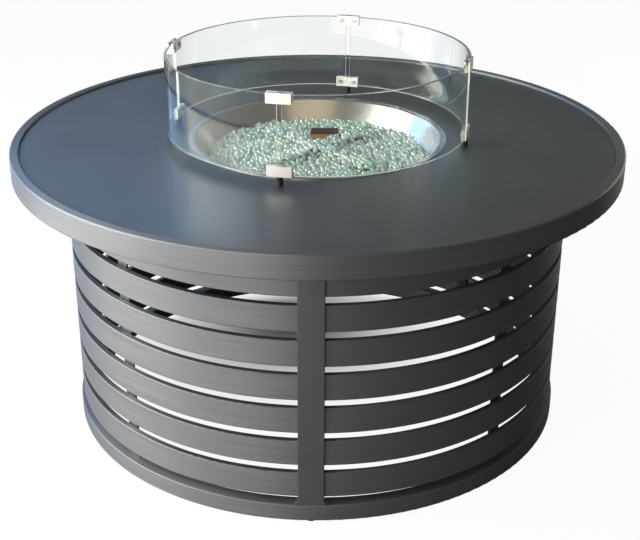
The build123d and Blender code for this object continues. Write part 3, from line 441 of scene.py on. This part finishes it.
# Table top: a rolled tube rim, a flat panel set in it, a hoop round the bowl and spokes under the panel.
# All aluminium, welded and powder coated, bolted to the top ring from below.
dress(strip_coat, "rim_tube")
dress(powder_coat, "top_panel", "burner_hoop", "top_spokes")
dress(zinc_plate, "frame_bolts")

# Burner bowl: spun from stainless sheet, so fine rings from the spinning tool run round the wall and floor.
# The rings are about 0.4 mm apart, too fine to show here, and are drawn at 3 mm.
ring_pitch = 0.003
smear_size = 0.07
spun_steel, tree = new_finish("spun_stainless_steel")
place = add_node(tree, "ShaderNodeTexCoord", {})
flat = add_node(
    tree, "ShaderNodeVectorMath", {0: place.outputs["Object"], 1: (1.0, 1.0, 0.0)}, operation="MULTIPLY"
)
away = add_node(tree, "ShaderNodeVectorMath", {0: flat.outputs[0]}, operation="LENGTH")
rings = add_node(
    tree,
    "ShaderNodeTexNoise",
    {"W": away.outputs["Value"], "Scale": 1 / ring_pitch, "Detail": 3.0},
    noise_dimensions="1D",
)
smear = add_node(
    tree, "ShaderNodeTexNoise", {"Vector": place.outputs["Object"], "Scale": 1 / smear_size, "Detail": 3.0}
)
tone = add_node(
    tree,
    "ShaderNodeMix",
    {"Factor": smear.outputs["Fac"], "A": linear("#c0c0bc"), "B": linear("#cfcec9")},
    data_type="RGBA",
)
gloss = add_node(
    tree,
    "ShaderNodeMapRange",
    {
        "Value": rings.outputs["Fac"],
        "From Min": noise_low,
        "From Max": noise_high,
        "To Min": 0.24,
        "To Max": 0.27,
    },
)
groove = add_node(
    tree, "ShaderNodeBump", {"Height": rings.outputs["Fac"], "Strength": 0.001, "Distance": ring_pitch / 10}
)
shader = add_node(
    tree,
    "ShaderNodeBsdfPrincipled",
    {
        "Base Color": tone.outputs["Result"],
        "Metallic": 1.0,
        "Roughness": gloss.outputs["Result"],
        "Normal": groove.outputs["Normal"],
    },
)
add_node(tree, "ShaderNodeOutputMaterial", {"Surface": shader.outputs["BSDF"]})
dress(spun_steel, "burner_bowl")

# Cross burner: stainless tubes welded to a hub, drilled with ports and browned by the flame.
# Under it a brass inlet elbow with its lock nuts, and a die-cast air mixer.
browned_steel = speckled(
    "flame_browned_steel", dark="#6f6448", light="#ab9d78",
    metallic=0.4, smooth=0.4, rough=0.6, grain=0.022,
)
dress(browned_steel, "burner_cross")
brass = speckled(
    "machined_brass", dark="#a9843f", light="#c6a25a",
    metallic=1.0, smooth=0.25, rough=0.38, grain=0.006,
)
dress(brass, "inlet_elbow", "inlet_locknuts")
cast_metal = speckled(
    "die_cast_aluminium", dark="#8f9092", light="#b2b3b4",
    metallic=1.0, smooth=0.42, rough=0.55, grain=0.003, relief=0.25,
)
dress(cast_metal, "air_mixer")

# Pilot hood: a folded steel cover over the spark and the thermocouple, rusty brown, burnt dark on top.
# The burnt part follows the height and ends just under the top; the rust has patches about 10 mm across.
hood_low, hood_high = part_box("pilot_hood")
scorch_end = 0.004
scorch_full = 0.001
rust_patch = 0.01
rusted, tree = new_finish("flame_rusted_steel")
place = add_node(tree, "ShaderNodeTexCoord", {})
parts = add_node(tree, "ShaderNodeSeparateXYZ", {"Vector": place.outputs["Object"]})
burn = add_node(
    tree,
    "ShaderNodeMapRange",
    {
        "Value": parts.outputs["Z"],
        "From Min": hood_high.z - scorch_end,
        "From Max": hood_high.z - scorch_full,
    },
)
patch = add_node(
    tree,
    "ShaderNodeTexNoise",
    {"Vector": place.outputs["Object"], "Scale": 1 / rust_patch, "Detail": 4.0, "Roughness": 0.6},
)
rust = add_node(
    tree,
    "ShaderNodeMix",
    {"Factor": patch.outputs["Fac"], "A": linear("#86643f"), "B": linear("#b58f64")},
    data_type="RGBA",
)
tone = add_node(
    tree,
    "ShaderNodeMix",
    {"Factor": burn.outputs["Result"], "A": rust.outputs["Result"], "B": linear("#3a261a")},
    data_type="RGBA",
)
shader = add_node(
    tree,
    "ShaderNodeBsdfPrincipled",
    {"Base Color": tone.outputs["Result"], "Metallic": 0.3, "Roughness": 0.6},
)
add_node(tree, "ShaderNodeOutputMaterial", {"Surface": shader.outputs["BSDF"]})
dress(rusted, "pilot_hood")

# Pilot parts under the hood: a bent steel bracket, browned as the burner is, and clamped in it a glazed
# ceramic electrode and a drawn copper thermocouple probe.
dress(browned_steel, "pilot_bracket")
ceramic = speckled(
    "glazed_ceramic", dark="#d9d3c4", light="#eae6da",
    metallic=0.0, smooth=0.2, rough=0.3, grain=0.006,
)
dress(ceramic, "spark_electrode")
copper = speckled(
    "drawn_copper", dark="#8e4f35", light="#b87452",
    metallic=1.0, smooth=0.3, rough=0.45, grain=0.008,
)
dress(copper, "thermocouple")

# Fire glass: a few thousand rounded pale aqua glass beads, poured loose into the bowl round the burner.
# Each is dropped at the lowest of a few random spots and rests on the bowl, the burner or other beads.
# They bank up over the hub and one arm of the burner, and leave the other arm partly bare.
bead_small = 0.0048
bead_large = 0.0069
bead_tries = 9
bead_misses = 260
bead_touch = 0.95
cover_touch = 0.8
bed_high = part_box("fire_glass")[1]
bed_edge = bed_high.x
bed_crown = 0.006
bed_spread = 0.005
bowl_floor = hood_low.z
bowl_floor_radius = 0.2125
bowl_wall_width = 0.0545
bowl_wall_height = 0.075
bowl_wall_run = bowl_wall_width / bowl_wall_height
arm_lift = 0.033
arm_axis = bowl_floor + arm_lift
arm_radius = 0.009
arm_reach = 0.150
arm_covers = ((math.radians(45), 0.35), (math.radians(135), 1.0))
hub_radius = 0.022
hub_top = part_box("burner_cross")[1].z
hub_cover = 1.0
swell_height = 0.013
swell_width = 0.022
dice = random.Random(7)
beads = []
cell = 2 * bead_large
cells = {}


def resting_height(x, y, radius):
    """Resting height of a bead at x, y, the swell of the bed there, and the cover of a burner below it."""
    away = math.hypot(x, y)
    slant = math.hypot(1, bowl_wall_run)
    wall = bowl_floor + (away + radius * slant - bowl_floor_radius) / bowl_wall_run
    height = max(bowl_floor + radius, wall)
    cover = None
    swell = math.exp(-((max(away - hub_radius, 0) / swell_width) ** 2))
    reach = radius + arm_radius
    for turn, arm_cover in arm_covers:
        along = x * math.cos(turn) + y * math.sin(turn)
        across = y * math.cos(turn) - x * math.sin(turn)
        past_end = max(abs(along) - arm_reach, 0)
        swell = max(swell, arm_cover * math.exp(-((math.hypot(across, past_end) / swell_width) ** 2)))
        if past_end == 0 and abs(across) < reach:
            height = max(height, arm_axis + math.sqrt(reach**2 - across**2))
            cover = arm_cover
    if away < hub_radius + radius:
        height = max(height, hub_top + radius)
        cover = hub_cover
    column, row = int(x // cell), int(y // cell)
    for near_column in (column - 1, column, column + 1):
        for near_row in (row - 1, row, row + 1):
            for other_x, other_y, other_z, other_radius in cells.get((near_column, near_row), ()):
                touch = (bead_touch if cover is None else cover_touch) * (radius + other_radius)
                rise = touch**2 - (x - other_x) ** 2 - (y - other_y) ** 2
                if rise > 0:
                    height = max(height, other_z + math.sqrt(rise))
    return height, swell, cover


misses = 0
while misses < bead_misses:
    radius = dice.uniform(bead_small, bead_large)
    best = None
    for attempt in range(bead_tries):
        away = (bed_edge + bead_large) * math.sqrt(dice.random())
        turn = dice.uniform(0, 2 * math.pi)
        x, y = away * math.cos(turn), away * math.sin(turn)
        spread = bed_spread * dice.random() ** 2
        beside_x = hood_low.x - radius < x < hood_high.x + radius
        beside_y = hood_low.y - radius < y < hood_high.y + radius
        if beside_x and beside_y:
            continue
        height, swell, cover = resting_height(x, y, radius)
        level = bed_high.z - bed_crown * away / bed_edge + spread
        chance = dice.random()
        level += swell_height * (swell if cover is None else chance < cover)
        if height + radius > level:
            continue
        if best is None or height < best[2]:
            best = (x, y, height, radius)
    if best is None:
        misses += 1
        continue
    misses = 0
    beads.append(best)
    cells.setdefault((int(best[0] // cell), int(best[1] // cell)), []).append(best)

# Soda-lime bead glass, fire polished: clear with a pale aqua tint that differs from bead to bead, a little
# milky, with a glossy skin that glints. Most of the light for shadows passes, so the bed isn't black inside.
shadow_pass = 0.7
bead_glass, tree = new_finish("aqua_bead_glass")
own = add_node(tree, "ShaderNodeAttribute", {}, attribute_name="tone")
tint = add_node(
    tree,
    "ShaderNodeMix",
    {"Factor": own.outputs["Fac"], "A": linear("#b4d6cb"), "B": linear("#ffffff")},
    data_type="RGBA",
)
path = add_node(tree, "ShaderNodeLightPath", {})
pebble = add_node(
    tree,
    "ShaderNodeBsdfPrincipled",
    {
        "Base Color": tint.outputs["Result"],
        "Roughness": 0.03,
        "IOR": 1.6,
        "Specular IOR Level": 1.0,
        "Transmission Weight": 0.7,
        "Coat Weight": 1.0,
        "Coat Roughness": 0.02,
        "Coat IOR": 1.8,
    },
)
clear = add_node(tree, "ShaderNodeBsdfTransparent", {"Color": linear("#e4f2ec")})
veil = add_node(
    tree, "ShaderNodeMath", {0: path.outputs["Is Shadow Ray"], 1: shadow_pass}, operation="MULTIPLY"
)
shader = add_node(
    tree, "ShaderNodeMixShader", {0: veil.outputs[0], 1: pebble.outputs["BSDF"], 2: clear.outputs["BSDF"]}
)
add_node(tree, "ShaderNodeOutputMaterial", {"Surface": shader.outputs[0]})
bead_kinds = 8
bead_stretch = (0.84, 1.06)
bead_dent = (0.95, 1.05)
tone_lean = 0.7
bead_shapes = []
for kind in range(bead_kinds):
    shape = bmesh.new()
    bmesh.ops.create_uvsphere(shape, u_segments=8, v_segments=5, radius=1.0)
    stretch = [dice.uniform(*bead_stretch) for axis in range(3)]
    bmesh.ops.scale(shape, verts=shape.verts, vec=stretch)
    for vert in shape.verts:
        vert.co *= dice.uniform(*bead_dent)
    for face in shape.faces:
        face.smooth = True
    mesh = bpy.data.meshes.new(f"bead_shape_{kind + 1}")
    shape.to_mesh(mesh)
    shape.free()
    bead_shapes.append(mesh)
bead_layers = 3
beads.sort(key=lambda bead: bead[2])
per_layer = math.ceil(len(beads) / bead_layers)
for layer in range(bead_layers):
    shape = bmesh.new()
    tones = []
    for x, y, height, radius in beads[layer * per_layer : (layer + 1) * per_layer]:
        turned = Euler([dice.uniform(0, 2 * math.pi) for axis in range(3)]).to_matrix().to_4x4()
        bead = dice.choice(bead_shapes).copy()
        bead.transform(Matrix.Translation((x, y, height)) @ turned @ Matrix.Scale(radius, 4))
        shape.from_mesh(bead)
        tones += [dice.random() ** tone_lean] * len(bead.vertices)
        bpy.data.meshes.remove(bead)
    mesh = bpy.data.meshes.new(f"fire_beads_{layer + 1}")
    shape.to_mesh(mesh)
    shape.free()
    mesh.attributes.new("tone", "FLOAT", "POINT").data.foreach_set("value", tones)
    mesh.materials.append(bead_glass)
    piece = bpy.data.objects.new(mesh.name, mesh)
    scene.collection.objects.link(piece)
    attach(piece, "frame")
    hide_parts("fire_glass")
for mesh in bead_shapes:
    bpy.data.meshes.remove(mesh)

# Control panel: a coated plate set into a window in the slats, with the gas valve screwed behind it.
# Valve body die cast, stem and collar steel, knob moulded in black plastic.
dress(powder_coat, "control_panel")
dress(cast_metal, "gas_valve")
dress(zinc_plate, "valve_screws", "stem_collar", "valve_stem")
dress(brass, "gas_inlet")
knob_plastic = speckled(
    "moulded_black_plastic", dark="#0d0d0e", light="#191a1b",
    metallic=0.0, smooth=0.32, rough=0.45, grain=0.002,
)
dress(knob_plastic, "control_knob")

# Pointer of the knob: white enamel rubbed into the groove that is moulded in the knob's face.
# It stops a little short of the groove's edges and of the face.
groove_depth = 0.001
groove_middle = 0.0085
enamel_short = 0.0002
enamel_width = 0.0019
enamel_length = 0.0112
knob_turn = next(joint for joint in frame["joints"] if joint["name"] == "knob_turn")
knob_axis = Vector(knob_turn["axis"])
knob_middle = Vector(knob_turn["pos_m"])
knob_face = max(vert.co.dot(knob_axis) for vert in frame["nodes"]["control_knob"].data.vertices)
depth = knob_face - knob_middle.dot(knob_axis) - (groove_depth + enamel_short) / 2
shape = bmesh.new()
bmesh.ops.create_cube(shape, size=1.0)
bmesh.ops.scale(shape, verts=shape.verts, vec=(groove_depth - enamel_short, enamel_width, enamel_length))
turned = Matrix.Rotation(math.atan2(knob_axis.y, knob_axis.x), 3, "Z")
bmesh.ops.rotate(shape, verts=shape.verts, matrix=turned)
spot = knob_middle + depth * knob_axis + Vector((0, 0, groove_middle))
bmesh.ops.translate(shape, verts=shape.verts, vec=spot)
mesh = bpy.data.meshes.new("knob_pointer")
shape.to_mesh(mesh)
shape.free()
enamel = speckled(
    "white_enamel", dark="#e6e6e2", light="#f2f2ee",
    metallic=0.0, smooth=0.3, rough=0.4, grain=0.003,
)
mesh.materials.append(enamel)
pointer = bpy.data.objects.new("knob_pointer", mesh)
scene.collection.objects.link(pointer)
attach(pointer, "knob")

# Igniter: a moulded body clamped by a nut through the plate, with a push button in its bezel. All are black
# plastic, the button polished.
dress(knob_plastic, "igniter_body", "igniter_nut")
button_plastic = speckled(
    "glossy_button_plastic", dark="#1b1b1d", light="#242427",
    metallic=0.0, smooth=0.15, rough=0.24, grain=0.006,
)
dress(button_plastic, "igniter_button")

# Gas tube: drawn aluminium with brass flare nuts, from the valve to the air mixer.
# Beside it the copper capillary of the thermocouple.
tube_metal = speckled(
    "drawn_aluminium", dark="#a2a4a6", light="#bcbec0",
    metallic=1.0, smooth=0.25, rough=0.4, grain=0.01,
)
dress(tube_metal, "feed_tube")
dress(brass, "flare_nuts")
dress(copper, "thermocouple_lead")

# Igniter lead: a high-voltage wire in a red silicone sleeve. It drops from the electrode through the bowl,
# hangs under it and plugs into the back of the igniter, whose axis is parallel to that of the knob.
lead_diameter = 0.003
lead_drop = 0.0235
lead_sag = 0.03
plug_run = 0.044
electrode_foot = Vector((0.027, 0.082, 0.5578))
igniter_back = Vector((-0.3182, 0.37194, 0.48828))
under_bowl = electrode_foot - Vector((0, 0, lead_drop))
behind_plug = igniter_back - plug_run * knob_axis
lowest = (under_bowl + behind_plug) / 2 - Vector((0, 0, lead_sag))
lead_route = [electrode_foot, under_bowl, lowest, behind_plug, igniter_back]
lead_curve = bpy.data.curves.new("igniter_lead_sleeve", "CURVE")
lead_curve.dimensions = "3D"
lead_curve.bevel_depth = lead_diameter / 2
lead_curve.bevel_resolution = 3
lead_line = lead_curve.splines.new("NURBS")
lead_line.points.add(len(lead_route) - 1)
for point, spot in zip(lead_line.points, lead_route):
    point.co = (*spot, 1.0)
lead_line.order_u = 3
lead_line.use_endpoint_u = True
lead_line.resolution_u = 16
sleeve = speckled(
    "silicone_sleeve", dark="#7d1f18", light="#98291f",
    metallic=0.0, smooth=0.4, rough=0.55, grain=0.004,
)
lead_curve.materials.append(sleeve)
lead = bpy.data.objects.new("igniter_lead_sleeve", lead_curve)
scene.collection.objects.link(lead)
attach(lead, "frame")
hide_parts("igniter_lead")

# Wind guard glass: four panels of 6 mm tempered float glass, bent to the curve. Clear, a little green, and
# greener where one looks along the sheet. The edges are ground, so frosted and pale, as at the joints
# between the panels; along the top and the bottom they carry a painted shade, a darker grey-green.
edge_facing = 0.5
guard_glass, tree = new_finish("tempered_float_glass")
path = add_node(tree, "ShaderNodeLightPath", {})
sheet = add_node(
    tree,
    "ShaderNodeBsdfPrincipled",
    {"Base Color": linear("#fbfefd"), "Roughness": 0.0, "IOR": 1.5, "Transmission Weight": 1.0},
)
clear = add_node(tree, "ShaderNodeBsdfTransparent", {"Color": linear("#eef7f2")})
pane = add_node(
    tree,
    "ShaderNodeMixShader",
    {0: path.outputs["Is Shadow Ray"], 1: sheet.outputs["BSDF"], 2: clear.outputs["BSDF"]},
)
place = add_node(tree, "ShaderNodeTexCoord", {})
flat = add_node(
    tree, "ShaderNodeVectorMath", {0: place.outputs["Object"], 1: (1.0, 1.0, 0.0)}, operation="MULTIPLY"
)
outward = add_node(tree, "ShaderNodeVectorMath", {0: flat.outputs[0]}, operation="NORMALIZE")
side = add_node(tree, "ShaderNodeNewGeometry", {})
faces = {0: side.outputs["Normal"], 1: outward.outputs[0]}
facing = add_node(tree, "ShaderNodeVectorMath", faces, operation="DOT_PRODUCT")
slant = add_node(tree, "ShaderNodeMath", {0: facing.outputs["Value"]}, operation="ABSOLUTE")
on_edge = add_node(tree, "ShaderNodeMath", {0: slant.outputs[0], 1: edge_facing}, operation="LESS_THAN")
parts = add_node(tree, "ShaderNodeSeparateXYZ", {"Vector": side.outputs["Normal"]})
painted_shade_on_flat_edges = add_node(tree, "ShaderNodeMath", {0: parts.outputs["Z"]}, operation="ABSOLUTE")
# Painted shade: edges that face up or down get the darker grey-green, those that face sideways stay pale.
tone = add_node(
    tree,
    "ShaderNodeMix",
    {"Factor": painted_shade_on_flat_edges.outputs[0], "A": linear("#e9f4ee"), "B": linear("#98a096")},
    data_type="RGBA",
)
ground = add_node(
    tree,
    "ShaderNodeBsdfPrincipled",
    {"Base Color": tone.outputs["Result"], "Roughness": 0.4, "IOR": 1.5, "Transmission Weight": 0.4},
)
panel = add_node(
    tree, "ShaderNodeMixShader", {0: on_edge.outputs[0], 1: pane.outputs[0], 2: ground.outputs["BSDF"]}
)
green = add_node(tree, "ShaderNodeVolumeAbsorption", {"Color": linear("#a8d5c2"), "Density": 4.0})
add_node(tree, "ShaderNodeOutputMaterial", {"Surface": panel.outputs[0], "Volume": green.outputs[0]})
dress(guard_glass, "glass_front_right", "glass_back_right", "glass_back_left", "glass_front_left")

# Guard clips: plates cut from brushed stainless, screwed together through the gap between two panels.
# The brushing runs level, in lines about 0.3 mm apart, drawn here at 1.5 mm to show.
brush_pitch = 0.0015
brush_length = 0.03
clip_steel, tree = new_finish("brushed_stainless_steel")
place = add_node(tree, "ShaderNodeTexCoord", {})
stretched = add_node(
    tree,
    "ShaderNodeMapping",
    {"Vector": place.outputs["Object"], "Scale": (1 / brush_length, 1 / brush_length, 1 / brush_pitch)},
)
brush = add_node(
    tree, "ShaderNodeTexNoise", {"Vector": stretched.outputs["Vector"], "Scale": 1.0, "Detail": 3.0}
)
tone = add_node(
    tree,
    "ShaderNodeMix",
    {"Factor": brush.outputs["Fac"], "A": linear("#c9c9c6"), "B": linear("#e4e4e1")},
    data_type="RGBA",
)
gloss = add_node(
    tree,
    "ShaderNodeMapRange",
    {
        "Value": brush.outputs["Fac"],
        "From Min": noise_low,
        "From Max": noise_high,
        "To Min": 0.52,
        "To Max": 0.66,
    },
)
shader = add_node(
    tree,
    "ShaderNodeBsdfPrincipled",
    {"Base Color": tone.outputs["Result"], "Metallic": 1.0, "Roughness": gloss.outputs["Result"]},
)
add_node(tree, "ShaderNodeOutputMaterial", {"Surface": shader.outputs["BSDF"]})
dress(clip_steel, "clip_outer_plates", "clip_inner_plates")
dress(zinc_plate, "clip_screws")

# Guard feet: black rubber plugs under the bottom clips, on which the guard stands on the table top.
# Moulded, matt, with a fine grain.
foot_rubber = speckled(
    "moulded_black_rubber", dark="#0a0a0a", light="#151515",
    metallic=0.0, smooth=0.6, rough=0.8, grain=0.002, relief=0.15,
)
dress(foot_rubber, "guard_feet")
